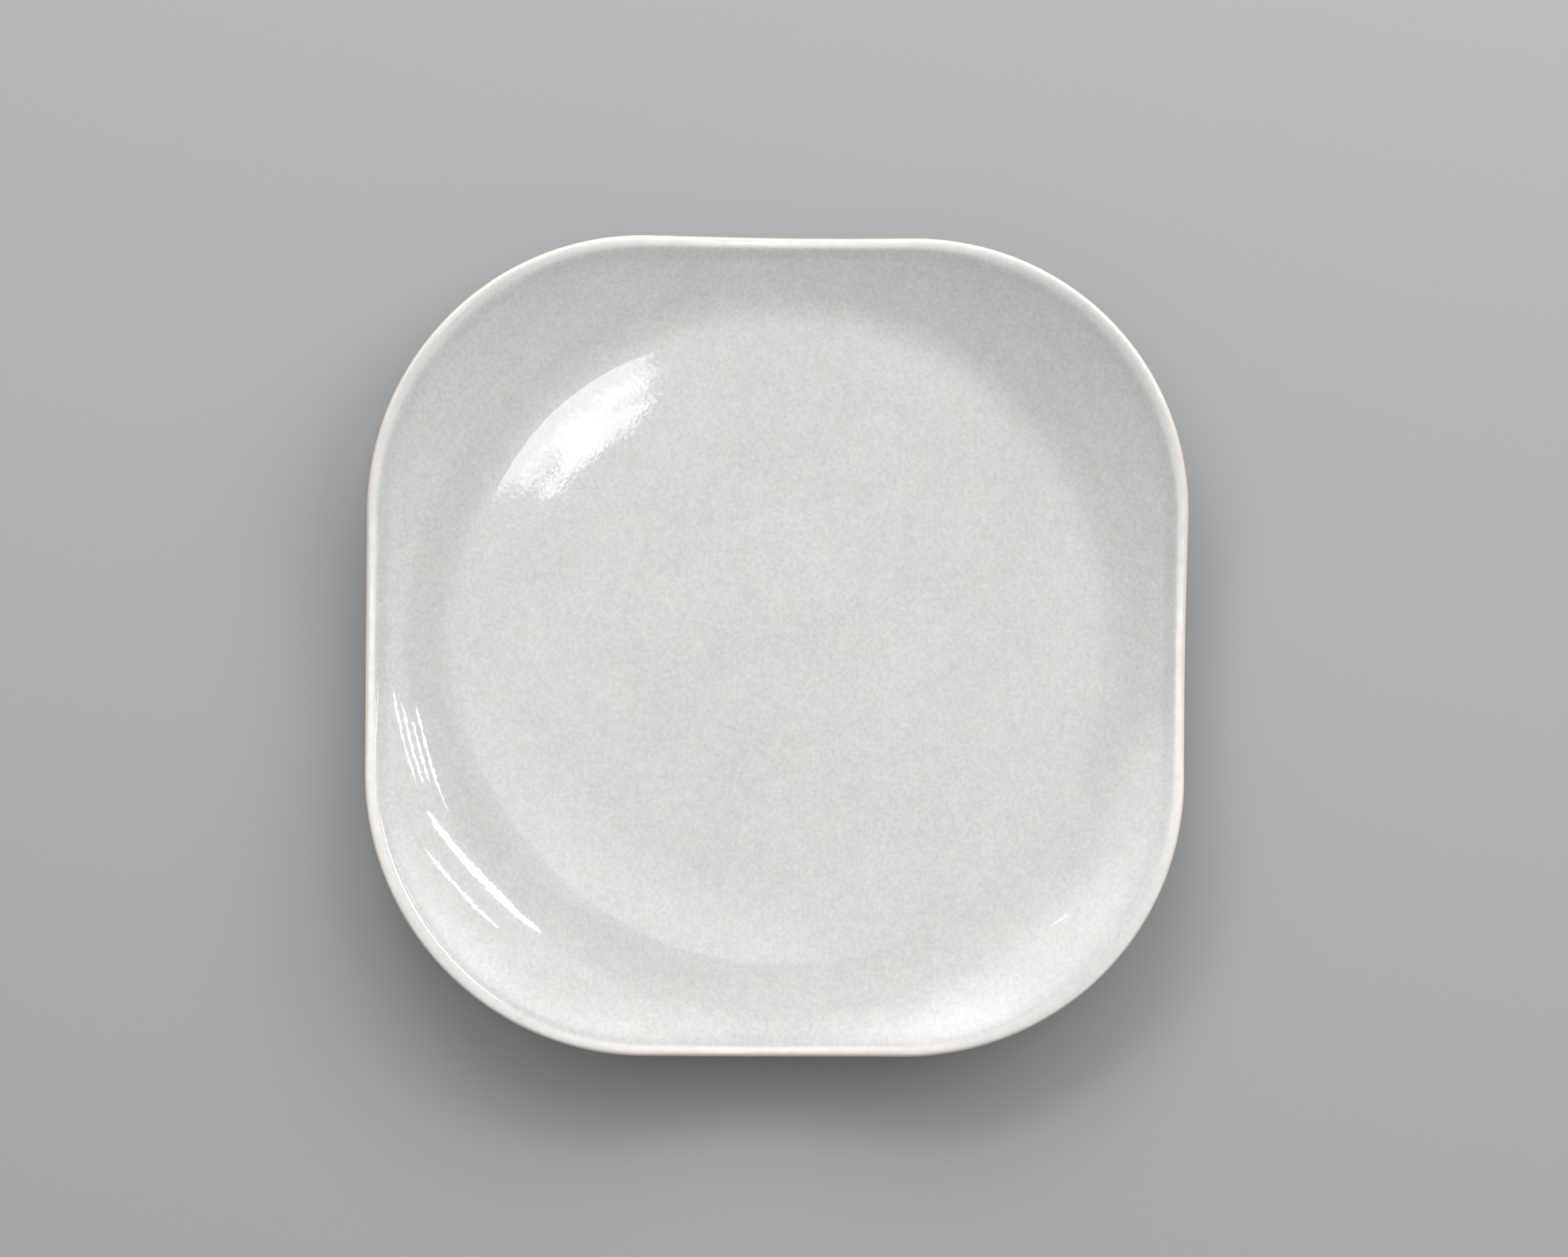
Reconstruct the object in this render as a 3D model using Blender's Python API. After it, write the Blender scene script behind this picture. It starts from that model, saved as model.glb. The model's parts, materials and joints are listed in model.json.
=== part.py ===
"""A glazed earthenware chop plate: a rounded square with a round well, standing on a foot ring.

The plate lies face up. The origin is the middle of the plane that it rests on, +Z is up, and the
straight sides of the rim run along X and Y. All sizes are in metres.

One outer skin gives every piece its shape. It is a list of rings that runs from the middle of the
face, over the rim and down the back to the middle of the underside. The glaze coats are stretches
of that skin, and the clay body is the whole skin sunk under the coats.
"""

from collections import namedtuple
from math import asin, cos, pi, radians, sin, sqrt, tan

import bmesh
import bpy
from mathutils import Vector

# Plan of the rim
SIDE = 0.330  # across the straight sides
CORNER_RADIUS = 0.113

# Dish: a round well, a cove and a flare, turned about Z and then cut to the plan of the rim
WELL_MARGIN = 0.042  # from the edge of the well to the middle of a side
WELL_DISH_WIDTH = 0.082  # from the edge of the well in to its flat middle
DISH_ANGLE = radians(5.4)  # the slope that the well reaches where it meets the cove
COVE_RADIUS = 0.058
FLARE_ANGLE = radians(20.5)  # the slope where the cove meets the flare
FLARE_RADIUS = 0.240
WALL = 0.0050  # thickness of the dish, square to its face, with the coats

# Lip: the flare bends over to a rounded edge, narrow on the sides, broad and flatter in the corners
SIDE_LIP_REACH = 0.0041  # from the outermost edge in to where the rounding starts
CORNER_LIP_REACH = 0.0054
SIDE_BEND_RUN = 0.0022  # from there in to where the bend starts
CORNER_BEND_RUN = 0.0030
SIDE_LIP_LEAN = 0.90  # share of the flare's slope that is left after the bend
CORNER_LIP_LEAN = 0.735
SIDE_LIP_POWER = 1.0  # 1 rounds the lip as half an ellipse; less makes its top flatter and its edge tighter
CORNER_LIP_POWER = 0.65

# Foot ring
FOOT_INSET = 0.025  # from the edge of the well to the middle of the ring
FOOT_WIDTH = 0.0050
FOOT_HEIGHT = 0.0035
FOOT_CHAMFER = 0.0004

# Glaze, and the bare clay that it leaves
GLAZE = 0.0004
BOND_GAP = 0.0003  # clearance between a coat and the clay under it
EDGE_GAP = 0.0005  # clearance between the end of a coat and the bare clay
RIM_LINE_WIDTH = 0.0009  # bare clay along the rim
RIM_LINE_ANGLE = radians(75)  # its place round the lip: 0 is on the face and 90 the outermost edge
FOOT_DRY_BAND = 0.0010  # bare clay up the sides of the foot ring

# Finishes
CLAY_COLOUR = (0.70, 0.60, 0.51)
GLAZE_COLOUR = (0.62, 0.62, 0.61)
CLAY_ROUGHNESS = 0.75
GLAZE_ROUGHNESS = 0.12

# Facets
CORNER_STEPS = 11
SIDE_STEPS = 5
WELL_STEPS = 4
DISH_STEPS = 6
BEND_STEPS = 3
FACE_LIP_STEPS = 5
BACK_LIP_STEPS = 3
FILLET_STEPS = 3
SMOOTH_ANGLE = radians(35)

WELL_RADIUS = SIDE / 2 - WELL_MARGIN
FLAT_RADIUS = WELL_RADIUS - WELL_DISH_WIDTH
FLOOR_TOP = FOOT_HEIGHT + WALL
DISH_RUN = WELL_DISH_WIDTH + COVE_RADIUS * sin(DISH_ANGLE)
COVE_MIDDLE = FLOOR_TOP + tan(DISH_ANGLE) * DISH_RUN / 2 + COVE_RADIUS * cos(DISH_ANGLE)
FLARE_AXIS = WELL_RADIUS + (COVE_RADIUS - FLARE_RADIUS) * sin(FLARE_ANGLE)
FLARE_MIDDLE = COVE_MIDDLE + (FLARE_RADIUS - COVE_RADIUS) * cos(FLARE_ANGLE)
FOOT_RADIUS = WELL_RADIUS - FOOT_INSET
QUARTER = pi / 2

Column = namedtuple("Column", "rim out corner")
Lip = namedtuple("Lip", "reach power bend_run slope lean half_height middle")


def clear_scene():
    for old in list(bpy.data.objects):
        bpy.data.objects.remove(old, do_unlink=True)


def smooth_step(t):
    return t * t * (3 - 2 * t)


def between(low, high, steps):
    """Evenly spaced values from low to high, both included."""
    return [low + (high - low) * i / steps for i in range(steps + 1)]


def columns():
    """The plan of the rim, anticlockwise: each point, its outward direction and its share of a corner."""
    centre = SIDE / 2 - CORNER_RADIUS
    found = []
    for quarter in range(4):
        turn = quarter * QUARTER
        along = Vector((-sin(turn), cos(turn)))
        out = Vector((cos(turn), sin(turn)))
        for offset in between(-centre, centre, SIDE_STEPS)[:-1]:
            found.append((out * (SIDE / 2) + along * offset, out))
        middle = (out + along) * centre
        for angle in between(turn, turn + QUARTER, CORNER_STEPS)[:-1]:
            away = Vector((cos(angle), sin(angle)))
            found.append((middle + away * CORNER_RADIUS, away))
    return [Column(rim, out, (2 * rim.x * rim.y / rim.length_squared) ** 2) for rim, out in found]


def dish_height(radius, depth):
    """Height of the dish at a radius, at a depth below its face that is measured square to the face."""
    cove = COVE_RADIUS + depth
    flare = FLARE_RADIUS + depth
    if radius > WELL_RADIUS + cove * sin(FLARE_ANGLE):
        return FLARE_MIDDLE - sqrt(flare**2 - (radius - FLARE_AXIS) ** 2)
    well_end = WELL_RADIUS + cove * sin(DISH_ANGLE)
    if radius > well_end:
        return COVE_MIDDLE - sqrt(cove**2 - (radius - WELL_RADIUS) ** 2)
    run = well_end - FLAT_RADIUS
    along = max(radius - FLAT_RADIUS, 0)
    drop = tan(DISH_ANGLE) * (run**2 - along**2) / (2 * run)
    return COVE_MIDDLE - cove * cos(DISH_ANGLE) - drop


def dish_slope(radius):
    """How much the face rises, for each metre outwards, on the cove or on the flare."""
    if radius > WELL_RADIUS + COVE_RADIUS * sin(FLARE_ANGLE):
        return tan(asin((radius - FLARE_AXIS) / FLARE_RADIUS))
    return tan(asin((radius - WELL_RADIUS) / COVE_RADIUS))


def lip_of(column):
    """The lip's sizes at a column, which change smoothly from the middle of a side to that of a corner."""

    def blend(side, corner):
        return side + (corner - side) * column.corner

    reach = blend(SIDE_LIP_REACH, CORNER_LIP_REACH)
    bend_run = blend(SIDE_BEND_RUN, CORNER_BEND_RUN)
    spot = inset(column, reach)
    slope = dish_slope(spot.length) * column.out.dot(spot.normalized())
    lean = slope * blend(SIDE_LIP_LEAN, CORNER_LIP_LEAN)
    top = dish_height(spot.length, 0) - (slope - lean) * bend_run / 2
    bottom = dish_height(spot.length, WALL)
    power = blend(SIDE_LIP_POWER, CORNER_LIP_POWER)
    return Lip(reach, power, bend_run, slope, lean, (top - bottom) / 2, (top + bottom) / 2)


def inset(column, distance):
    """The point at this distance inside the rim."""
    return column.rim - column.out * distance


def lip_point(column, lip, turn):
    """A point on the lip, half an ellipse that leans: turn 0 is on the face and pi on the back."""
    out = abs(sin(turn)) ** lip.power
    spot = inset(column, lip.reach * (1 - out))
    past_edge = max(turn / QUARTER - 1, 0)
    lean = lip.lean + (lip.slope - lip.lean) * smooth_step(past_edge)
    height = lip.middle + lean * lip.reach * out + lip.half_height * cos(turn)
    return spot.to_3d() + Vector((0, 0, height))


def lip_rings(plan, first_turn, last_turn, steps):
    """Rings round the lip, between two turns that are worked out for each column's lip."""
    rings = []
    for share in between(0, 1, steps):
        ring = []
        for column, lip in plan:
            turn = first_turn(lip) + (last_turn(lip) - first_turn(lip)) * share
            ring.append(lip_point(column, lip, turn))
        rings.append(ring)
    return rings


def rim_line_turn(distance):
    """Gives the turn round a lip at this distance past the middle of its bare line."""
    return lambda lip: RIM_LINE_ANGLE + distance / lip.half_height


def dish_ring(ends, share, depth):
    """A ring on the dish, this share of the way from the edge of the well to the end points."""
    ring = []
    for end in ends:
        edge = end.normalized() * WELL_RADIUS
        spot = edge.lerp(end, share)
        ring.append(spot.to_3d() + Vector((0, 0, dish_height(spot.length, depth))))
    return ring


def round_ring(directions, radius, height):
    return [(way * radius).to_3d() + Vector((0, 0, height)) for way in directions]


def face_rings(plan):
    """From the flat middle of the well out to where the face's coat ends on the lip."""
    bend_start = [inset(column, lip.reach + lip.bend_run) for column, lip in plan]
    directions = [end.normalized() for end in bend_start]
    well_radii = between(FLAT_RADIUS, WELL_RADIUS, WELL_STEPS)[:-1]
    rings = [round_ring(directions, radius, dish_height(radius, 0)) for radius in well_radii]
    rings += [dish_ring(bend_start, share, 0) for share in between(0, 1, DISH_STEPS)]
    for share in between(0, 1, BEND_STEPS)[1:-1]:
        ring = []
        for column, lip in plan:
            spot = inset(column, lip.reach + lip.bend_run * (1 - share))
            drop = (lip.slope - lip.lean) * lip.bend_run * share**2 / 2
            ring.append(spot.to_3d() + Vector((0, 0, dish_height(spot.length, 0) - drop)))
        rings.append(ring)
    coat_end = rim_line_turn(-RIM_LINE_WIDTH / 2 - EDGE_GAP)
    return rings + lip_rings(plan, lambda lip: 0, coat_end, FACE_LIP_STEPS)


def rim_line_rings(plan):
    """The two edges of the bare line along the rim."""
    half = RIM_LINE_WIDTH / 2
    return lip_rings(plan, rim_line_turn(-half), rim_line_turn(half), 1)


def back_rings(plan):
    """From where the back's coat starts under the lip in to where it ends on the foot ring."""
    coat_start = rim_line_turn(RIM_LINE_WIDTH / 2 + EDGE_GAP)
    rings = lip_rings(plan, coat_start, lambda lip: pi, BACK_LIP_STEPS)
    ends = [point.to_2d() for point in rings[-1]]
    rings += [dish_ring(ends, share, WALL) for share in between(1, 0, DISH_STEPS)[1:]]
    directions = [end.normalized() for end in ends]
    return rings + fillet_rings(directions, 1)


def fillet_rings(directions, side):
    """The fillet from the underside to the end of the coat; side is 1 outside the foot ring, -1 inside."""
    fillet = FOOT_HEIGHT - FOOT_DRY_BAND - EDGE_GAP
    flank = FOOT_RADIUS + side * FOOT_WIDTH / 2
    rings = []
    for turn in between(0, QUARTER, FILLET_STEPS):
        radius = flank + side * fillet * (1 - sin(turn))
        rings.append(round_ring(directions, radius, FOOT_HEIGHT - fillet * (1 - cos(turn))))
    return rings


def foot_rings(directions):
    """The bare clay of the foot ring, across its bearing face."""
    outer = FOOT_RADIUS + FOOT_WIDTH / 2
    inner = FOOT_RADIUS - FOOT_WIDTH / 2
    return [
        round_ring(directions, outer, FOOT_DRY_BAND),
        round_ring(directions, outer, FOOT_CHAMFER),
        round_ring(directions, outer - FOOT_CHAMFER, 0),
        round_ring(directions, inner + FOOT_CHAMFER, 0),
        round_ring(directions, inner, FOOT_CHAMFER),
        round_ring(directions, inner, FOOT_DRY_BAND),
    ]


def ring_mesh(rings, cap_first, cap_last):
    """A bmesh that bridges the rings in order, with its outer side on the left of their run."""
    bm = bmesh.new()
    rows = [[bm.verts.new(point) for point in ring] for ring in rings]
    for row, following in zip(rows, rows[1:]):
        for i in range(len(row)):
            j = (i + 1) % len(row)
            bm.faces.new((row[i], following[i], following[j], row[j]))
    if cap_first:
        bm.faces.new(rows[0])
    if cap_last:
        bm.faces.new(rows[-1][::-1])
    bm.normal_update()
    return bm, rows


def material(name, colour, roughness):
    made = bpy.data.materials.new(name)
    made.use_nodes = True
    shader = made.node_tree.nodes["Principled BSDF"]
    shader.inputs["Base Color"].default_value = (*colour, 1)
    shader.inputs["Roughness"].default_value = roughness
    shader.inputs["Metallic"].default_value = 0
    return made


def object_from(bm, name, finish, parent):
    mesh = bpy.data.meshes.new(name)
    bm.to_mesh(mesh)
    bm.free()
    mesh.shade_smooth()
    mesh.set_sharp_from_angle(angle=SMOOTH_ANGLE)
    mesh.materials.append(finish)
    made = bpy.data.objects.new(name, mesh)
    bpy.context.scene.collection.objects.link(made)
    made.parent = parent
    return made


def make_coat(name, rings, parent, cap_first=False, cap_last=False):
    """A glaze coat: a stretch of the outer skin, thickened inwards."""
    bm, _ = ring_mesh(rings, cap_first, cap_last)
    coat = object_from(bm, name, material(name, GLAZE_COLOUR, GLAZE_ROUGHNESS), parent)
    thicken = coat.modifiers.new("coat thickness", "SOLIDIFY")
    thicken.thickness = GLAZE
    thicken.offset = -1
    thicken.use_even_offset = True


def make_clay(face, rim_line, back, foot, foot_well, parent):
    """The clay body: the whole skin, sunk under the coats and left standing where the clay is bare."""
    bm, rows = ring_mesh(face + rim_line + back + foot + foot_well, True, True)
    bare = [False] * len(face) + [True] * len(rim_line) + [False] * len(back)
    bare += [True] * len(foot) + [False] * len(foot_well)
    for row, is_bare in zip(rows, bare):
        if is_bare:
            continue
        for vertex in row:
            vertex.co -= vertex.normal * (GLAZE + BOND_GAP)
    object_from(bm, "clay_body", material("fired_clay", CLAY_COLOUR, CLAY_ROUGHNESS), parent)


def main():
    clear_scene()
    plate = bpy.data.objects.new("plate", None)
    bpy.context.scene.collection.objects.link(plate)

    plan = [(column, lip_of(column)) for column in columns()]
    directions = [column.rim.normalized() for column, _ in plan]
    face = face_rings(plan)
    rim_line = rim_line_rings(plan)
    back = back_rings(plan)
    foot = foot_rings(directions)
    foot_well = fillet_rings(directions, -1)[::-1]

    make_clay(face, rim_line, back, foot, foot_well, plate)
    make_coat("face_glaze", face, plate, cap_first=True)
    make_coat("back_glaze", back, plate)
    make_coat("foot_well_glaze", foot_well, plate, cap_last=True)


main()
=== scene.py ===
"""The looks of a glazed earthenware chop plate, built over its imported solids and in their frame.

The plate lies face up on z = 0, in metres, with the straight sides of its rim along X and Y.
One outer skin gives every piece its shape: rings of points that run from the edge of the well, over
the lip and down the back to the foot, with round grids of quads that fill the well and the foot well.
The three glaze coats are stretches of that skin with a thickness that runs out to nothing at their
ends, and the clay body is the whole skin sunk under them, standing out only where it is bare.
"""

import json
from collections import namedtuple
from math import cos, pi, radians, sin, tan

import bpy
import numpy as np
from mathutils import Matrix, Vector, noise


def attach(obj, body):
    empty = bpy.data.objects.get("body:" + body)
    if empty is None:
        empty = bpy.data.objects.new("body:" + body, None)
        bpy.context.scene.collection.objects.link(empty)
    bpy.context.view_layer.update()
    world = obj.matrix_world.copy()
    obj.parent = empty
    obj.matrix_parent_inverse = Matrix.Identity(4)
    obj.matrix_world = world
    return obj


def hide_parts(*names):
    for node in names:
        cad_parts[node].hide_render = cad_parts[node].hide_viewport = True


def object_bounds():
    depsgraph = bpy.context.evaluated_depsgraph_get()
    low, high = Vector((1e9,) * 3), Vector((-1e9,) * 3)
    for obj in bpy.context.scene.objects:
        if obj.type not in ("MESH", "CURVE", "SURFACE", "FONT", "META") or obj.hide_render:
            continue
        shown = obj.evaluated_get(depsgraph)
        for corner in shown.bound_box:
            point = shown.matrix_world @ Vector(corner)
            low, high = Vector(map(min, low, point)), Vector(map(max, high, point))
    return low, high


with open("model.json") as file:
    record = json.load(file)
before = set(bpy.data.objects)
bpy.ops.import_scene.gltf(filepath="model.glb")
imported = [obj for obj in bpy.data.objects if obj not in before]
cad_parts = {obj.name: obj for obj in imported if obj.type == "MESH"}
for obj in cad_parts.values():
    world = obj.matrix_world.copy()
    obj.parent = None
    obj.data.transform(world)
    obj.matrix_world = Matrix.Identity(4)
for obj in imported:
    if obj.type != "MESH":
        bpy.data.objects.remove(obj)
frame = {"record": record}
cad_low, cad_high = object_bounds()

# Sizes that the frame gives
SIDE = cad_high.x - cad_low.x
FOOT_RADIUS = frame["record"]["mounts"][0]["pos_m"][0]

# Sizes repeated from the solids
CORNER_RADIUS = 0.113
WELL_MARGIN = 0.042
WELL_DISH_WIDTH = 0.082
DISH_ANGLE = radians(5.4)
COVE_RADIUS = 0.058
FLARE_ANGLE = radians(20.5)
FLARE_RADIUS = 0.240
WALL = 0.0050
SIDE_LIP_REACH = 0.0041
CORNER_LIP_REACH = 0.0054
SIDE_LIP_LEAN = 0.90
CORNER_LIP_LEAN = 0.735
SIDE_BEND_RUN = 0.0022
CORNER_BEND_RUN = 0.0030
SIDE_LIP_POWER = 1.0
CORNER_LIP_POWER = 0.65
FOOT_WIDTH = 0.0050
FOOT_HEIGHT = 0.0035
FOOT_CHAMFER = 0.0004
FOOT_DRY_BAND = 0.0010
GLAZE = 0.0004
RIM_LINE_WIDTH = 0.0009
RIM_LINE_ANGLE = radians(75)

WELL_RADIUS = SIDE / 2 - WELL_MARGIN
FLAT_RADIUS = WELL_RADIUS - WELL_DISH_WIDTH
WELL_HEIGHT = FOOT_HEIGHT + WALL
DISH_RUN = WELL_DISH_WIDTH + COVE_RADIUS * sin(DISH_ANGLE)
COVE_MIDDLE = WELL_HEIGHT + tan(DISH_ANGLE) * DISH_RUN / 2 + COVE_RADIUS * cos(DISH_ANGLE)
FLARE_AXIS = WELL_RADIUS + (COVE_RADIUS - FLARE_RADIUS) * sin(FLARE_ANGLE)
FLARE_MIDDLE = COVE_MIDDLE + (FLARE_RADIUS - COVE_RADIUS) * cos(FLARE_ANGLE)
FOOT_FACE_RING = FOOT_WIDTH / 6  # from the middle of the bearing face to the rings that part it in three

# Where the face's coat is thin, and a highlight is painted: over the lip's crest, in shares of the lip's
# reach
SIDE_CREST_END = (0.72, 1.12)
CORNER_CREST_END = (0.10, 0.36)
CORNER_LIP_END = (0.80, 1.15)
CORNER_LIP_THIN_AND_HIGHLIGHT = 0.25

# Where the face's coat pooled and shade is painted: distances behind the lip, and radii in the cove
LIP_POOL_AND_SHADE_START = (-0.0004, 0.0016)
LIP_POOL_AND_SHADE_END = (0.0030, 0.0060)
COVE_POOL_AND_SHADE_START = (0.128, 0.139)
COVE_POOL_AND_SHADE_END = (0.146, 0.153)
COVE_PAINTED_SHADE_SIDE = radians(205)  # the side where the cove's painted shade is deepest, and how closely it keeps there
COVE_PAINTED_SHADE_FOCUS = 3

# How deep the pooled glaze and painted shade are, as shares of those behind a side's lip
CORNER_LIP_POOL_AND_SHADE = 0.75
LEAST_COVE_POOL_AND_SHADE = 0.15
MOST_COVE_POOL_AND_SHADE = 1.25

# Traces of the hand: waves of the trimmed rim (waves per turn, height, phase) and uneven surfaces
TRIM_WAVES = ((2, 0.00023, -51), (3, 0.00047, -94), (5, 0.00028, 149))
LIP_SWELL = 0.07  # share by which the lip's reach varies along the rim
LIP_SWELLS_PER_TURN = 22
FACE_UNEVENNESS = 0.00007
FACE_LUMP = 0.055  # size of the lumps
RIM_LINE_WANDER = 0.00022  # how far the coats' ends stray along the rim, and how often they do
RIM_WANDERS_PER_TURN = 90
FOOT_LINE_WANDER = 0.00025
FOOT_WANDERS_PER_TURN = 60

# Places in the noise where each trace and each glaze starts
LIP_SEED = 1.5
FACE_END_SEED = 3.1
BACK_END_SEED = 4.7
OUTER_FOOT_SEED = 5.9
INNER_FOOT_SEED = 6.4
LUMP_SEED = 7.3
FACE_GLAZE_SEED = 0.0
BACK_GLAZE_SEED = 3.0
FOOT_WELL_GLAZE_SEED = 6.0

# Marks that the finishes read from a mesh, and their values far from any end of a coat
MARKS = {"edge_mm": 100.0, "thin": 0.0, "pool": 0.0}
MM_IN_A_METRE = 1000

# Coats: each runs out to its end
COAT_END = 0.00004
COAT_TAPER = 0.0030
CLAY_BOND = 0.00002
RIM_LINE_DEPTH = 0.00003  # of the bare clay below the coats beside it

# Resolution
GRID = 88  # quads across a round grid, and columns in a quarter turn
COLUMNS = 4 * GRID
DISH_RINGS = 24
BEND_RINGS = 10
FACE_LIP_RINGS = 14
BACK_LIP_RINGS = 8
BACK_DISH_RINGS = 18
CONE_RINGS = 6
FILLET_RINGS = 6
FOOT_BEVEL_RINGS = 3
RIM_LINE_RINGS = 2
SMOOTH_ANGLE = radians(40)

# Glaze: scales of noise in lumps a metre, and shares by which the tone swings
NOISE_MIDDLE = 0.5
MOST_NOISE = (0.3, 0.7)  # between these lie most values of a noise
COOL_GLAZE_COLOUR = (0.621, 0.625, 0.622)
WARM_GLAZE_COLOUR = (0.631, 0.625, 0.609)
DRIFT_SCALE = 75.0  # from cool to warm
DRIFT_RANGE = (0.25, 0.75)
MOTTLE_SCALE = 620.0
MOTTLE_SHARE = 0.38
PATCH_SCALE = 170.0
PATCH_SHARE = 0.11
CLOUD_SCALE = 28.0
CLOUD_SHARE = 0.10
POOL_AND_PAINTED_SHADE = 0.085  # how much darker the colour is where the glaze pooled and where shade is painted
SPECK_COLOUR = (0.34, 0.29, 0.24)
SPECK_SHARE = 0.55
SPECK_SCALE = 34.0
SPECK_EDGE = (0.006, 0.015)  # in cells
SPECK_CHANCE = (0.90, 0.93)  # cells whose random value is past this have a speck
GLAZE_IOR = 1.5
GLOSS_SCALE = 90.0
GLOSS_ROUGHNESS = (0.018, 0.032)
PEEL_SCALE = 520.0
PEEL_HEIGHT = 0.000005
SWELL_SCALE = 70.0
SWELL_HEIGHT = 0.00002

# Thin glaze: pale near a coat's end, and clay shows through at the end itself; over the crest, pale thin
# glaze with a painted highlight
THIN_GLAZE_AND_HIGHLIGHT_COLOUR = (0.92, 0.905, 0.88)
THIN_AND_HIGHLIGHT_SCALE = 150.0
THIN_AND_HIGHLIGHT_SHARE = (0.75, 1.0)
SHEER_GLAZE_COLOUR = (0.74, 0.64, 0.56)
END_SCALE = 260.0
END_STRAY = 1.2  # this and the next two are millimetres
PALE_END = (0.9, 2.4)
SHEER_END = (1.2, 2.6)
PALE_SHARE = 0.75
SHEER_SHARE = 0.85

# Bare clay and the floor
CLAY_COLOUR = (0.70, 0.60, 0.51)
CLAY_ROUGHNESS = (0.68, 0.85)
GRAIN_SCALE = 900.0
GRAIN_SHARE = 0.30
GRAIN_HEIGHT = 0.00006
STAIN_SCALE = 45.0
STAIN_SHARE = 0.16
GRIT_COLOUR = (0.42, 0.31, 0.23)
GRIT_SHARE = 0.5
GRIT_SCALE = 1400.0
GRIT_RANGE = (0.70, 0.78)
FLOOR_COLOUR = (0.393, 0.398, 0.404)
FLOOR_ROUGHNESS = 0.9
FLOOR_HALF = 4.0
FLOOR_DROP = 0.0001  # keeps the floor clear of the foot's face

# Light of the room, and what the lamps share
WORLD_LIGHT = 0.408
PLATE_MIDDLE = (0, 0, 0.01)
LAMP_HALF = 0.5  # from a lamp's middle to its edge, in shares of its width

# Soft boxes round the plate: azimuth and angle from straight up in degrees, width, height, radiance
BOX_DISTANCE = 2.4
SOFT_BOXES = (
    ("top_box", 83, 59, 3.7, 1.6, 4.65),
    ("right_box", 40, 60, 3.2, 1.6, 4.3),
    ("north_box", 80, 48, 1.6, 1.0, 1.7),
    ("corner_box", 108, 50, 1.7, 1.2, 4.6),
    ("left_box", 130, 48, 1.8, 1.2, 2.8),
    ("side_box", 156, 46, 1.4, 1.0, 1.9),
    ("south_box", 270, 35, 0.8, 0.8, 0.2),
    ("high_box", 60, 4, 0.52, 0.21, 1.9),
)
BOX_FADE = 0.1  # where a box starts to fade, as a share of its width from its middle
NEAR_BOX_PLACE = (-0.05, -0.10, 0.90)
NEAR_BOX_SIDE = 0.5
NEAR_BOX_RADIANCE = 0.5

# Panes overhead that the glaze mirrors: place, turn in degrees, length, breadth, radiance
FRAYED_PANES = (
    ("well_pane_outer", (0.355, -0.392, 4.0), 46, 0.34, 0.44, 4.6),
    ("well_pane_middle", (0.228, -0.284, 4.02), 44, 0.26, 0.062, 2.2),
    ("well_pane_inner", (0.2044, -0.2436, 4.04), 48, 0.18, 0.052, 5.8),
)
PANE_FADE = 0.40
PANE_FRAY = 0.30
FRAY_SCALE = 11.0  # lumps across a lamp
FRAY_DETAIL = 4.0
PANES = (
    ("thick_strip", (1.262, 0.985, 2.0), 142, 0.73, 0.085, 12.0),
    ("thin_strip", (1.494, 1.165, 2.0), 144, 0.52, 0.037, 11.0),
    ("spot", (-1.338, 1.257, 2.0), 15, 0.11, 0.032, 4.5),
)
SLAT_START = (1.655, 0.412, 2.0)
SLAT_STEP = (-0.086, 0.018, 0)
SLAT_TURN = 105
SLAT_LENGTHS = (0.46, 0.37, 0.29, 0.48)
SLAT_BREADTH = 0.022
SLAT_RADIANCE = 14.0

# The photograph's framing: its size and the plate's place in it, in pixels
PHOTO_WIDTH = 2156
PHOTO_HEIGHT = 1728
PLATE_CENTRE = (1067.4, 887.9)
PLATE_WIDTH = 1127.1
PLATE_TURN = radians(0.57)  # clockwise
CAMERA_HEIGHT = 2.4
SENSOR_WIDTH = 36.0  # millimetres
RIM_HEIGHT = 0.025  # where the plate's width is seen

Plan = namedtuple("Plan", "angle way rim out corner")
Lip = namedtuple("Lip", "reach power bend_run slope lean half_height middle")
Stretch = namedtuple("Stretch", "rings depth marks")


def smooth_step(t):
    return t * t * (3 - 2 * t)


def rise(value, stretch):
    """0 before a stretch, 1 past it, and a smooth step between."""
    low, high = stretch
    return smooth_step(np.clip((value - low) / (high - low), 0, 1))


def between(low, high, steps):
    """Evenly spaced values from low to high, both included."""
    return [low + (high - low) * i / steps for i in range(steps + 1)]


def wander(angle, lumps, seed):
    """Smooth noise along the rim, from about -1 to 1, that closes on itself."""
    reach = lumps / (2 * pi)
    return np.array([noise.noise((reach * cos(a), reach * sin(a), seed)) for a in angle])


def make_plan():
    """The plan of the rim: columns at even angles, from the lower right corner anticlockwise."""
    angle = -pi / 4 + 2 * pi * np.arange(COLUMNS) / COLUMNS
    way = np.column_stack((np.cos(angle), np.sin(angle)))
    half = SIDE / 2
    centre = half - CORNER_RADIUS
    across = np.abs(way)
    side_hit = way * (half / across.max(axis=1))[:, None]
    on_side = np.abs(side_hit).min(axis=1) <= centre
    side_out = np.where(across == across.max(axis=1)[:, None], np.sign(way), 0)
    corner_centre = np.sign(way) * centre
    lean = (way * corner_centre).sum(axis=1)
    length = lean + np.sqrt(CORNER_RADIUS**2 - 2 * centre**2 + lean**2)
    corner_hit = way * length[:, None]
    corner_out = (corner_hit - corner_centre) / CORNER_RADIUS
    rim = np.where(on_side[:, None], side_hit, corner_hit)
    out = np.where(on_side[:, None], side_out, corner_out)
    for waves, height, phase in TRIM_WAVES:
        rim = rim + out * (height * np.cos(waves * angle + radians(phase)))[:, None]
    return Plan(angle, way, rim, out, np.sin(2 * angle) ** 2)


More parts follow.
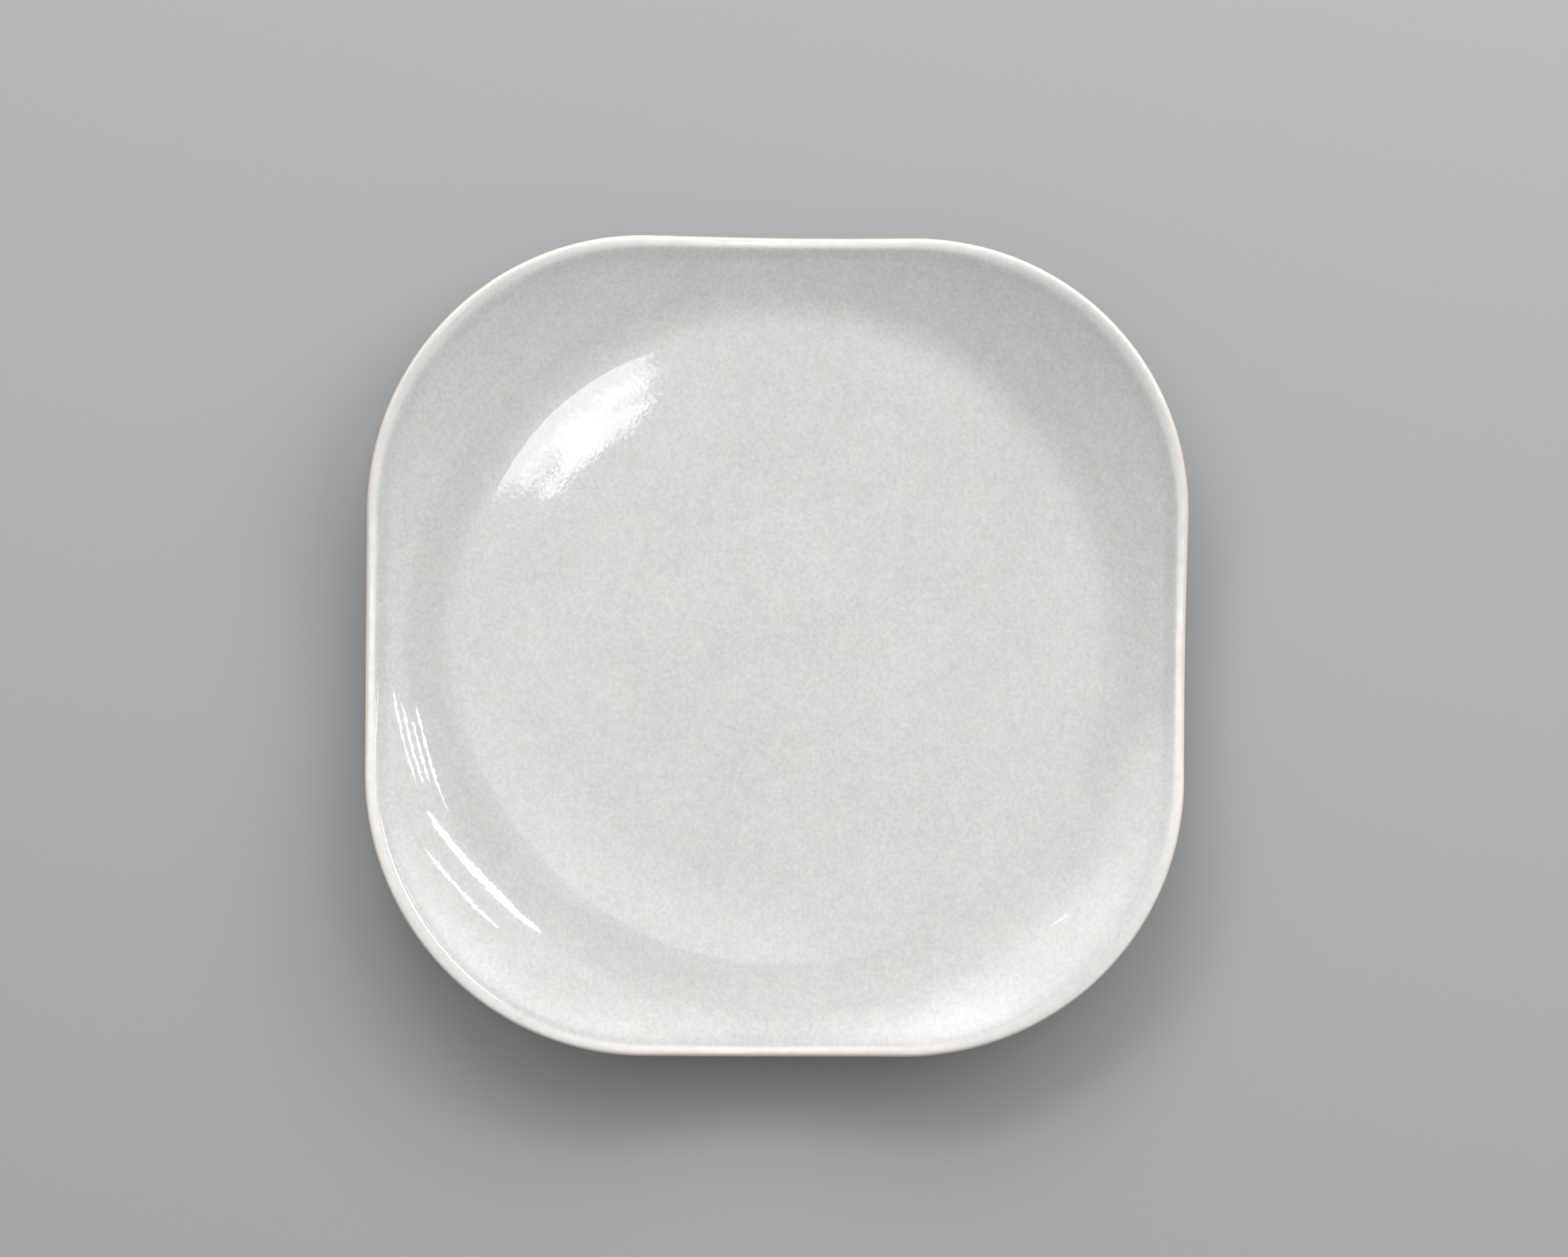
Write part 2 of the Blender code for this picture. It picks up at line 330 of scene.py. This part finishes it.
def dish_height(radius, depth):
    """Height of the dish at a radius, at a depth below its face that is measured square to the face."""
    cove = COVE_RADIUS + depth
    flare = FLARE_RADIUS + depth
    well_end = WELL_RADIUS + cove * sin(DISH_ANGLE)
    cove_end = WELL_RADIUS + cove * sin(FLARE_ANGLE)
    run = well_end - FLAT_RADIUS
    along = np.maximum(radius - FLAT_RADIUS, 0)
    drop = tan(DISH_ANGLE) * (run**2 - along**2) / (2 * run)
    in_well = COVE_MIDDLE - cove * cos(DISH_ANGLE) - drop
    across_cove = np.clip(radius, well_end, cove_end) - WELL_RADIUS
    in_cove = COVE_MIDDLE - np.sqrt(cove**2 - across_cove**2)
    in_flare = FLARE_MIDDLE - np.sqrt(flare**2 - (radius - FLARE_AXIS) ** 2)
    return np.where(radius < well_end, in_well, np.where(radius < cove_end, in_cove, in_flare))


def flare_slope(radius):
    across = radius - FLARE_AXIS
    return across / np.sqrt(FLARE_RADIUS**2 - across**2)


def length_of(spots):
    return np.linalg.norm(spots, axis=-1)


def inset(plan, distance):
    """Points at these distances inside the rim."""
    return plan.rim - plan.out * np.asarray(distance)[..., None]


def ring(spots, height):
    return np.column_stack((spots, np.broadcast_to(height, len(spots))))


def round_ring(plan, radius, height):
    return ring(plan.way * np.broadcast_to(radius, COLUMNS)[:, None], height)


def make_lip(plan):
    """The lip's sizes in each column: narrow on the sides, broad and flatter in the corners."""

    def blend(side, corner):
        return side + (corner - side) * plan.corner

    swell = 1 + LIP_SWELL * wander(plan.angle, LIP_SWELLS_PER_TURN, LIP_SEED)
    reach = blend(SIDE_LIP_REACH, CORNER_LIP_REACH) * swell
    bend_run = blend(SIDE_BEND_RUN, CORNER_BEND_RUN)
    spot = inset(plan, reach)
    radius = length_of(spot)
    slope = flare_slope(radius) * (plan.out * spot).sum(axis=1) / radius
    lean = slope * blend(SIDE_LIP_LEAN, CORNER_LIP_LEAN)
    top = dish_height(radius, 0) - (slope - lean) * bend_run / 2
    bottom = dish_height(radius, WALL)
    power = blend(SIDE_LIP_POWER, CORNER_LIP_POWER)
    return Lip(reach, power, bend_run, slope, lean, (top - bottom) / 2, (top + bottom) / 2)


def lip_rings(plan, lip, first_turn, last_turn, steps):
    """Rings round the lip, a half ellipse that leans, fuller in the corners.

    Turn 0 is on the face and pi on the back.
    """
    rings = []
    for share in between(0, 1, steps):
        turn = np.broadcast_to(first_turn + (last_turn - first_turn) * share, COLUMNS)
        out = np.abs(np.sin(turn)) ** lip.power
        spots = inset(plan, lip.reach * (1 - out))
        lean = lip.lean + (lip.slope - lip.lean) * rise(turn, (pi / 2, pi))
        height = lip.middle + lean * lip.reach * out + lip.half_height * np.cos(turn)
        rings.append(ring(spots, height))
    return rings


def unevenness(spots):
    """How far the face stands above or below its true shape."""
    lumps = [noise.noise((x / FACE_LUMP, y / FACE_LUMP, LUMP_SEED)) for x, y in spots]
    return FACE_UNEVENNESS * np.array(lumps)


def face_rings(plan, lip, coat_end):
    """From the edge of the well out to where the face's coat ends on the lip."""
    bend_start = inset(plan, lip.reach + lip.bend_run)
    edge = plan.way * WELL_RADIUS
    rings = []
    for share in between(0, 1, DISH_RINGS):
        spots = edge + (bend_start - edge) * share
        rings.append(ring(spots, dish_height(length_of(spots), 0) + unevenness(spots)))
    for share in between(0, 1, BEND_RINGS)[1:-1]:
        spots = inset(plan, lip.reach + lip.bend_run * (1 - share))
        drop = (lip.slope - lip.lean) * lip.bend_run * share**2 / 2
        height = dish_height(length_of(spots), 0) + unevenness(spots) * (1 - share) - drop
        rings.append(ring(spots, height))
    return np.array(rings + lip_rings(plan, lip, 0, coat_end, FACE_LIP_RINGS))


def back_rings(plan, lip, coat_start, coat_end):
    """From where the back's coat starts under the lip in to where it ends on the foot ring."""
    rings = lip_rings(plan, lip, coat_start, pi, BACK_LIP_RINGS)
    outer = rings[-1][:, :2]
    edge = plan.way * WELL_RADIUS
    for share in between(1, 0, BACK_DISH_RINGS)[1:]:
        spots = edge + (outer - edge) * share
        rings.append(ring(spots, dish_height(length_of(spots), WALL)))
    fillet = foot_fillet(plan, 1, coat_end)
    inner = length_of(fillet[0][:, :2])
    top = dish_height(WELL_RADIUS, WALL)
    for share in between(0, 1, CONE_RINGS)[1:-1]:
        radius = WELL_RADIUS + (inner - WELL_RADIUS) * share
        rings.append(round_ring(plan, radius, top + (FOOT_HEIGHT - top) * share))
    return np.array(rings + fillet)


def foot_fillet(plan, side, end_height):
    """The fillet from the underside down to a coat's end; side is 1 outside the foot ring, -1 inside."""
    fillet = FOOT_HEIGHT - end_height
    flank = FOOT_RADIUS + side * FOOT_WIDTH / 2
    rings = []
    for turn in between(0, pi / 2, FILLET_RINGS):
        radius = flank + side * fillet * (1 - sin(turn))
        rings.append(round_ring(plan, radius, FOOT_HEIGHT - fillet * (1 - cos(turn))))
    return rings


def foot_rings(plan, outer_end, inner_end):
    """The bare clay of the foot ring, from the outer coat across the bearing face to the inner one."""
    rings = []
    for side, coat_end in ((1, outer_end), (-1, inner_end)):
        flank = FOOT_RADIUS + side * FOOT_WIDTH / 2
        half = [round_ring(plan, flank, (coat_end + FOOT_CHAMFER) / 2)]
        for turn in between(0, pi / 2, FOOT_BEVEL_RINGS):
            radius = flank - side * FOOT_CHAMFER * (1 - cos(turn))
            half.append(round_ring(plan, radius, FOOT_CHAMFER * (1 - sin(turn))))
        half.append(round_ring(plan, FOOT_RADIUS + side * FOOT_FACE_RING, 0))
        rings += half if side > 0 else half[::-1]
    return np.array(rings)


def lengths_along(rings):
    """Each point's distance along its column from the first ring."""
    steps = np.linalg.norm(np.diff(rings, axis=0), axis=2)
    return np.vstack((np.zeros(COLUMNS), np.cumsum(steps, axis=0)))


def face_marks(plan, lip, rings):
    """Where the face's coat is thin, with a painted highlight on the crest, and where it pooled, with
    painted shade.
    """
    distance = ((plan.rim - rings[..., :2]) * plan.out).sum(axis=-1)
    share = distance / lip.reach
    # Over the lip's crest the thin glaze is made paler than glaze alone would be: a painted highlight.
    on_side = 1 - rise(share, SIDE_CREST_END)
    crest = 1 - rise(share, CORNER_CREST_END)
    in_corner = crest + CORNER_LIP_THIN_AND_HIGHLIGHT * (1 - crest) * (1 - rise(share, CORNER_LIP_END))
    thin = on_side + (in_corner - on_side) * plan.corner
    # Behind the lip: a darker band, partly pooled glaze and partly painted shade.
    behind = distance - lip.reach
    lip_pool_and_shade = rise(behind, LIP_POOL_AND_SHADE_START) * (1 - rise(behind, LIP_POOL_AND_SHADE_END))
    lip_pool_and_shade = lip_pool_and_shade * (1 + (CORNER_LIP_POOL_AND_SHADE - 1) * plan.corner)
    # In the cove: a darker ring, partly pooled glaze and partly painted shade; it is deepest on one side,
    # and that part is painted shade only.
    radius = length_of(rings[..., :2])
    turn = np.arctan2(rings[..., 1], rings[..., 0])
    lean = ((1 + np.cos(turn - COVE_PAINTED_SHADE_SIDE)) / 2) ** COVE_PAINTED_SHADE_FOCUS
    depth = LEAST_COVE_POOL_AND_SHADE + (MOST_COVE_POOL_AND_SHADE - LEAST_COVE_POOL_AND_SHADE) * lean
    cove_pool_and_shade = depth * rise(radius, COVE_POOL_AND_SHADE_START) * (1 - rise(radius, COVE_POOL_AND_SHADE_END))
    return thin, np.maximum(lip_pool_and_shade, cove_pool_and_shade)


def coated(rings, ends_first, ends_last, thin=0.0, pool=0.0, sharpness=1.0):
    """A stretch of skin with a coat: how thick the coat is there, and its marks.

    Sharpness says how many times closer to the coat's end the finish changes.
    """
    along = lengths_along(rings)
    edge = np.full(along.shape, np.inf)
    if ends_first:
        edge = np.minimum(edge, along)
    if ends_last:
        edge = np.minimum(edge, along[-1] - along)
    depth = COAT_END + (GLAZE - COAT_END) * rise(edge, (0, COAT_TAPER))
    edge_mm = np.minimum(edge * MM_IN_A_METRE * sharpness, MARKS["edge_mm"])
    marks = {"edge_mm": edge_mm, "thin": thin + 0 * edge_mm, "pool": pool + 0 * edge_mm}
    return Stretch(rings, depth, marks)


def bare(rings, depth):
    none = np.zeros(rings.shape[:2])
    return Stretch(rings, none + depth, dict.fromkeys(MARKS, none))


def round_grid():
    """A square grid bent onto the unit disc, whose edge has the plan's columns, and its quads.

    The points inside come first and are numbered from 0, and those of the edge follow, as column numbers.
    """
    inside = []
    numbers = {}
    for j in range(1, GRID):
        for i in range(1, GRID):
            numbers[i, j] = len(inside)
            a = 2 * i / GRID - 1
            b = 2 * j / GRID - 1
            if abs(a) > abs(b):
                radius, turn = a, pi / 4 * b / a
            else:
                radius, turn = b, pi / 2 - pi / 4 * (a / b if b else 0)
            inside.append((radius * cos(turn), radius * sin(turn)))
    for k in range(GRID):
        for column, spot in enumerate(((GRID, k), (GRID - k, GRID), (0, GRID - k), (k, 0))):
            numbers[spot] = len(inside) + column * GRID + k
    quads = []
    for j in range(GRID):
        for i in range(GRID):
            quads.append([numbers[i, j], numbers[i + 1, j], numbers[i + 1, j + 1], numbers[i, j + 1]])
    return np.array(inside), quads


class Skin:
    """A sheet of the outer skin: points, outward normals, faces, the coat's depth and its marks."""

    def __init__(self, stretches, well=False, foot_well=False):
        rings = np.concatenate([stretch.rings for stretch in stretches])
        self.depth = np.concatenate([stretch.depth for stretch in stretches]).ravel()
        self.marks = {}
        for mark in MARKS:
            self.marks[mark] = np.concatenate([stretch.marks[mark] for stretch in stretches]).ravel()
        self.points = rings.reshape(-1, 3)
        self.faces = []
        for row in range(len(rings) - 1):
            for i in range(COLUMNS):
                j = (i + 1) % COLUMNS
                low = row * COLUMNS
                high = low + COLUMNS
                self.faces.append([low + i, high + i, high + j, low + j])
        along = np.gradient(rings, axis=0)
        around = np.roll(rings, -1, axis=1) - np.roll(rings, 1, axis=1)
        normals = np.cross(along, around)
        if well:
            normals[0] = (0, 0, 1)
        if foot_well:
            normals[-1] = (0, 0, -1)
        self.normals = (normals / np.linalg.norm(normals, axis=2)[:, :, None]).reshape(-1, 3)
        self.first = None if well else np.arange(COLUMNS)
        self.last = None if foot_well else np.arange(COLUMNS) + (len(rings) - 1) * COLUMNS
        if well:
            self.fill_well()
        if foot_well:
            self.fill_foot_well((len(rings) - 1) * COLUMNS)

    def fill_well(self):
        inside, quads = round_grid()
        spots = inside * WELL_RADIUS
        self.add_grid(ring(spots, dish_height(length_of(spots), 0) + unevenness(spots)), quads, 0, 1)

    def fill_foot_well(self, edge_row):
        inside, quads = round_grid()
        radius = length_of(self.points[edge_row, :2])
        self.add_grid(ring(inside * radius, FOOT_HEIGHT), quads, edge_row, -1)

    def add_grid(self, points, quads, edge_row, up):
        """Joins a round grid to the row of points that is its edge; up is 1 where it faces +Z, else -1."""
        first_new = len(self.points)
        for quad in quads:
            face = [first_new + n if n < len(points) else edge_row + n - len(points) for n in quad]
            self.faces.append(face[::up])
        count = len(points)
        self.points = np.vstack((self.points, points))
        self.normals = np.vstack((self.normals, np.tile((0, 0, up), (count, 1))))
        self.depth = np.append(self.depth, np.full(count, GLAZE))
        for mark, plain in MARKS.items():
            self.marks[mark] = np.append(self.marks[mark], np.full(count, plain))


def mesh_object(name, points, faces, marks, finish, node):
    """A piece that stands for a node of the frame, with the marks that its finish reads."""
    mesh = bpy.data.meshes.new(name)
    mesh.from_pydata(points.tolist(), [], faces)
    mesh.shade_smooth()
    mesh.set_sharp_from_angle(angle=SMOOTH_ANGLE)
    for mark, values in marks.items():
        attribute = mesh.attributes.new(mark, "FLOAT", "POINT")
        attribute.data.foreach_set("value", values.astype(np.float32))
    mesh.materials.append(finish)
    piece = bpy.data.objects.new(name, mesh)
    bpy.context.scene.collection.objects.link(piece)
    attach(piece, "root")
    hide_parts(node)


def make_coat(node, skin, seed):
    """A closed coat: the skin, a copy sunk by the coat's thickness, and strips that join their ends."""
    count = len(skin.points)
    under = skin.points - skin.normals * skin.depth[:, None]
    faces = skin.faces + [[n + count for n in face[::-1]] for face in skin.faces]
    for ends, runs_back in ((skin.first, False), (skin.last, True)):
        if ends is None:
            continue
        for i in range(COLUMNS):
            start, end = ends[i], ends[(i + 1) % COLUMNS]
            if runs_back:
                start, end = end, start
            faces.append([int(start), int(end), int(end) + count, int(start) + count])
    marks = {mark: np.tile(values, 2) for mark, values in skin.marks.items()}
    points = np.vstack((skin.points, under))
    mesh_object(node + "_coat", points, faces, marks, glaze(node, seed), node)


def make_clay(skin):
    """The clay: the whole closed skin, sunk under the coats."""
    points = skin.points - skin.normals * skin.depth[:, None]
    mesh_object("clay_body_fired", points, skin.faces, {}, clay_finish(), "clay_body")


def make_plate():
    plan = make_plan()
    lip = make_lip(plan)
    half = RIM_LINE_WIDTH / 2
    stray_up = RIM_LINE_WANDER * wander(plan.angle, RIM_WANDERS_PER_TURN, FACE_END_SEED)
    stray_down = RIM_LINE_WANDER * wander(plan.angle, RIM_WANDERS_PER_TURN, BACK_END_SEED)
    face_end = RIM_LINE_ANGLE - (half + stray_up) / lip.half_height
    back_start = RIM_LINE_ANGLE + (half + stray_down) / lip.half_height
    stray_out = FOOT_LINE_WANDER * wander(plan.angle, FOOT_WANDERS_PER_TURN, OUTER_FOOT_SEED)
    stray_in = FOOT_LINE_WANDER * wander(plan.angle, FOOT_WANDERS_PER_TURN, INNER_FOOT_SEED)
    outer_end = FOOT_DRY_BAND + stray_out
    inner_end = FOOT_DRY_BAND + stray_in

    face = face_rings(plan, lip, face_end)
    face = coated(face, False, True, *face_marks(plan, lip, face), sharpness=1 + plan.corner)
    back = coated(back_rings(plan, lip, back_start, outer_end), True, True)
    foot_well = coated(np.array(foot_fillet(plan, -1, inner_end)[::-1]), True, False)
    quarter = (back_start - face_end) / 4
    rim_line = lip_rings(plan, lip, face_end + quarter, back_start - quarter, RIM_LINE_RINGS)
    rim_line = bare(np.array(rim_line), RIM_LINE_DEPTH)
    foot = bare(foot_rings(plan, outer_end, inner_end), 0)
    clay = [sunk(face), rim_line, sunk(back), foot, sunk(foot_well)]

    make_coat("face_glaze", Skin([face], well=True), FACE_GLAZE_SEED)
    make_coat("back_glaze", Skin([back]), BACK_GLAZE_SEED)
    make_coat("foot_well_glaze", Skin([foot_well], foot_well=True), FOOT_WELL_GLAZE_SEED)
    make_clay(Skin(clay, well=True, foot_well=True))


def sunk(stretch):
    """A coated stretch as the clay takes it: just below the coat."""
    return stretch._replace(depth=stretch.depth + CLAY_BOND)


class Nodes:
    """Short ways to add shader nodes to one node tree; a socket takes a value or another node's output."""

    def __init__(self, tree):
        self.tree = tree

    def add(self, kind, settings=None, **sockets):
        made = self.tree.nodes.new(kind)
        for key, value in (settings or {}).items():
            setattr(made, key, value)
        for name, value in sockets.items():
            self.feed(made.inputs[name.replace("_", " ")], value)
        return made

    def feed(self, socket, value):
        if isinstance(value, bpy.types.NodeSocket):
            self.tree.links.new(value, socket)
        else:
            socket.default_value = value

    def math(self, operation, first, second):
        made = self.add("ShaderNodeMath", {"operation": operation})
        self.feed(made.inputs[0], first)
        self.feed(made.inputs[1], second)
        return made.outputs[0]

    def noise(self, where, scale, detail=0.0, roughness=0.5):
        made = self.add("ShaderNodeTexNoise", Vector=where, Scale=scale)
        made.inputs["Detail"].default_value = detail
        made.inputs["Roughness"].default_value = roughness
        return made.outputs["Fac"]

    def remap(self, value, low, high, to_low=0.0, to_high=1.0):
        made = self.add("ShaderNodeMapRange", {"interpolation_type": "SMOOTHSTEP"}, Value=value)
        made.inputs["From Min"].default_value = low
        made.inputs["From Max"].default_value = high
        made.inputs["To Min"].default_value = to_low
        made.inputs["To Max"].default_value = to_high
        return made.outputs["Result"]

    def mix(self, share, first, second):
        """A mix of two colours, by the numbers of the node's colour sockets."""
        made = self.add("ShaderNodeMix", {"data_type": "RGBA"})
        self.feed(made.inputs[0], share)
        self.feed(made.inputs[6], first)
        self.feed(made.inputs[7], second)
        return made.outputs[2]

    def scaled(self, colour, factor):
        made = self.add("ShaderNodeVectorMath", {"operation": "SCALE"}, Vector=colour, Scale=factor)
        return made.outputs["Vector"]

    def mark(self, name):
        """A mark of the mesh."""
        return self.add("ShaderNodeAttribute", {"attribute_name": name}).outputs["Fac"]

    def bump(self, height, distance):
        return self.add("ShaderNodeBump", Strength=1.0, Distance=distance, Height=height)


def new_finish(name):
    finish = bpy.data.materials.new(name)
    finish.use_nodes = True
    return finish, finish.node_tree.nodes["Principled BSDF"]


def opaque(colour):
    return (*colour, 1)


def varied(nodes, parts):
    """1 plus each noise, centred on 0 and times its share."""
    total = 1.0
    for value, share in parts:
        swing = nodes.math("MULTIPLY", nodes.math("SUBTRACT", value, NOISE_MIDDLE), share)
        total = nodes.math("ADD", swing, total)
    return total


def glaze(name, seed):
    """Pale grey glaze: fine mottling, clouds, a few specks, an orange-peel gloss, thin pale ends, a
    painted highlight on the crest and painted shade.
    """
    finish, shader = new_finish(name)
    nodes = Nodes(finish.node_tree)
    shift = nodes.add("ShaderNodeVectorMath", {"operation": "ADD"})
    nodes.feed(shift.inputs[0], nodes.add("ShaderNodeTexCoord").outputs["Object"])
    shift.inputs[1].default_value = (seed, seed, seed)
    where = shift.outputs["Vector"]

    mottle = nodes.noise(where, MOTTLE_SCALE, detail=2.0, roughness=0.6)
    patches = nodes.noise(where, PATCH_SCALE, detail=1.0)
    clouds = nodes.noise(where, CLOUD_SCALE, detail=1.0)
    tone = varied(nodes, ((mottle, MOTTLE_SHARE), (patches, PATCH_SHARE), (clouds, CLOUD_SHARE)))
    # Darkens the colour where the glaze pooled and where shade is painted.
    shade = nodes.math("MULTIPLY", nodes.mark("pool"), POOL_AND_PAINTED_SHADE)
    tone = nodes.math("MULTIPLY", tone, nodes.math("SUBTRACT", 1.0, shade))
    drift = nodes.remap(nodes.noise(where, DRIFT_SCALE, detail=2.0), *DRIFT_RANGE)
    body = nodes.mix(drift, opaque(COOL_GLAZE_COLOUR), opaque(WARM_GLAZE_COLOUR))
    body = nodes.scaled(body, tone)

    dots = nodes.add("ShaderNodeTexVoronoi", {"voronoi_dimensions": "2D"}, Vector=where, Scale=SPECK_SCALE)
    near = nodes.remap(dots.outputs["Distance"], *SPECK_EDGE, 1.0, 0.0)
    chance = nodes.add("ShaderNodeSeparateColor", Color=dots.outputs["Color"])
    speck = nodes.math("MULTIPLY", near, nodes.remap(chance.outputs["Red"], *SPECK_CHANCE))
    body = nodes.mix(nodes.math("MULTIPLY", speck, SPECK_SHARE), body, opaque(SPECK_COLOUR))

    stray = nodes.math("MULTIPLY", nodes.noise(where, END_SCALE, detail=2.0), END_STRAY)
    ragged = nodes.math("ADD", nodes.mark("edge_mm"), stray)
    pale = nodes.remap(ragged, *PALE_END, PALE_SHARE, 0.0)
    uneven = nodes.remap(nodes.noise(where, THIN_AND_HIGHLIGHT_SCALE, detail=2.0), *MOST_NOISE, *THIN_AND_HIGHLIGHT_SHARE)
    # The crest's mark paints pale thin glaze together with a painted highlight.
    pale = nodes.math("MAXIMUM", pale, nodes.math("MULTIPLY", nodes.mark("thin"), uneven))
    body = nodes.mix(pale, body, opaque(THIN_GLAZE_AND_HIGHLIGHT_COLOUR))
    sheer = nodes.remap(ragged, *SHEER_END, SHEER_SHARE, 0.0)
    body = nodes.mix(sheer, body, opaque(SHEER_GLAZE_COLOUR))
    nodes.feed(shader.inputs["Base Color"], body)

    gloss = nodes.remap(nodes.noise(where, GLOSS_SCALE, detail=2.0), *MOST_NOISE, *GLOSS_ROUGHNESS)
    nodes.feed(shader.inputs["Roughness"], gloss)
    shader.inputs["IOR"].default_value = GLAZE_IOR
    peel = nodes.bump(nodes.noise(where, PEEL_SCALE, detail=1.0), PEEL_HEIGHT)
    swell = nodes.bump(nodes.noise(where, SWELL_SCALE), SWELL_HEIGHT)
    nodes.feed(swell.inputs["Normal"], peel.outputs["Normal"])
    nodes.feed(shader.inputs["Normal"], swell.outputs["Normal"])
    return finish


def clay_finish():
    """Bare fired clay: pinkish cream, matt, with a fine grain and a few darker grits."""
    finish, shader = new_finish("fired_clay")
    nodes = Nodes(finish.node_tree)
    where = nodes.add("ShaderNodeTexCoord").outputs["Object"]
    grain = nodes.noise(where, GRAIN_SCALE, detail=3.0, roughness=0.65)
    stains = nodes.noise(where, STAIN_SCALE, detail=2.0)
    tone = varied(nodes, ((grain, GRAIN_SHARE), (stains, STAIN_SHARE)))
    body = nodes.scaled(CLAY_COLOUR, tone)
    grit = nodes.remap(nodes.noise(where, GRIT_SCALE), *GRIT_RANGE)
    body = nodes.mix(nodes.math("MULTIPLY", grit, GRIT_SHARE), body, opaque(GRIT_COLOUR))
    nodes.feed(shader.inputs["Base Color"], body)
    nodes.feed(shader.inputs["Roughness"], nodes.remap(grain, *MOST_NOISE, *CLAY_ROUGHNESS))
    nodes.feed(shader.inputs["Normal"], nodes.bump(grain, GRAIN_HEIGHT).outputs["Normal"])
    return finish


def make_floor():
    """A plain pale floor that the plate rests on."""
    half = FLOOR_HALF
    mesh = bpy.data.meshes.new("floor")
    corners = [(-half, -half, 0), (half, -half, 0), (half, half, 0), (-half, half, 0)]
    mesh.from_pydata(corners, [], [(0, 1, 2, 3)])
    floor = bpy.data.objects.new("floor", mesh)
    floor.location.z = -FLOOR_DROP
    bpy.context.scene.collection.objects.link(floor)
    finish, shader = new_finish("floor")
    shader.inputs["Base Color"].default_value = opaque(FLOOR_COLOUR)
    shader.inputs["Roughness"].default_value = FLOOR_ROUGHNESS
    mesh.materials.append(finish)


def lamp(name, shape, length, breadth, radiance):
    """A flat lamp that no camera sees and that shines down its own -Z.

    The radiance is nominal: the power is pi times it over a rectangle of these sizes, in every shape.
    """
    light = bpy.data.lights.new(name, "AREA")
    light.shape = shape
    light.size = length
    light.size_y = breadth
    light.energy = pi * length * breadth * radiance
    made = bpy.data.objects.new(name, light)
    made.visible_camera = False
    bpy.context.scene.collection.objects.link(made)
    return made


def dim_edges(made, start, fray=0.0):
    """Fades a lamp from this share of its width out to its edge; fray is how far the fade strays."""
    made.data.use_nodes = True
    nodes = Nodes(made.data.node_tree)
    spot = nodes.add("ShaderNodeNewGeometry").outputs["Parametric"]
    from_middle = nodes.add("ShaderNodeVectorMath", {"operation": "DISTANCE"})
    nodes.feed(from_middle.inputs[0], spot)
    from_middle.inputs[1].default_value = (LAMP_HALF, LAMP_HALF, 0)
    stray = nodes.math("SUBTRACT", nodes.noise(spot, FRAY_SCALE, FRAY_DETAIL), NOISE_MIDDLE)
    away = nodes.math("ADD", from_middle.outputs["Value"], nodes.math("MULTIPLY", stray, fray))
    glow = nodes.remap(away, start, LAMP_HALF, 1.0, 0.0)
    nodes.feed(made.data.node_tree.nodes["Emission"].inputs["Strength"], glow)


def soft_box(name, place, width, height, radiance):
    """A box of light that faces the plate and fades towards its edge."""
    made = lamp(name, "RECTANGLE", width, height, radiance)
    dim_edges(made, BOX_FADE)
    made.location = place
    made.rotation_euler = (Vector(PLATE_MIDDLE) - Vector(place)).to_track_quat("-Z", "Y").to_euler()


def pane(name, place, turn, length, breadth, radiance):
    """A level lamp overhead, turned about Z, that the glaze mirrors as a streak."""
    made = lamp(name, "ELLIPSE", length, breadth, radiance)
    made.location = place
    made.rotation_euler.z = radians(turn)
    return made


def around_plate(azimuth, polar):
    """A box's place at these angles from +X and from straight up, in degrees, seen from the plate."""
    turn = radians(azimuth)
    lean = radians(polar)
    return Vector((sin(lean) * cos(turn), sin(lean) * sin(turn), cos(lean))) * BOX_DISTANCE


def make_lights():
    world = bpy.data.worlds.new("studio")
    world.use_nodes = True
    world.node_tree.nodes["Background"].inputs["Color"].default_value = opaque([WORLD_LIGHT] * 3)
    bpy.context.scene.world = world
    for name, azimuth, polar, width, height, radiance in SOFT_BOXES:
        soft_box(name, around_plate(azimuth, polar), width, height, radiance)
    soft_box("near_box", NEAR_BOX_PLACE, NEAR_BOX_SIDE, NEAR_BOX_SIDE, NEAR_BOX_RADIANCE)
    for row in FRAYED_PANES:
        dim_edges(pane(*row), PANE_FADE, PANE_FRAY)
    for row in PANES:
        pane(*row)
    for number, length in enumerate(SLAT_LENGTHS):
        place = Vector(SLAT_START) + Vector(SLAT_STEP) * number
        pane("slat_%d" % number, place, SLAT_TURN, length, SLAT_BREADTH, SLAT_RADIANCE)


def make_camera():
    """Straight over the plate, turned and shifted as the plate lies in the photograph."""
    scale = SIDE / PLATE_WIDTH
    data = bpy.data.cameras.new("camera")
    data.sensor_width = SENSOR_WIDTH
    data.lens = SENSOR_WIDTH * (CAMERA_HEIGHT - RIM_HEIGHT) / (scale * PHOTO_WIDTH)
    camera = bpy.data.objects.new("camera", data)
    right = (PHOTO_WIDTH / 2 - PLATE_CENTRE[0]) * scale
    up = (PLATE_CENTRE[1] - PHOTO_HEIGHT / 2) * scale
    camera.location = (right, up, CAMERA_HEIGHT)
    camera.rotation_euler = (0, 0, PLATE_TURN)
    bpy.context.scene.collection.objects.link(camera)
    bpy.context.scene.camera = camera


bpy.context.scene.view_settings.view_transform = "Standard"
make_camera()
make_plate()
make_floor()
make_lights()
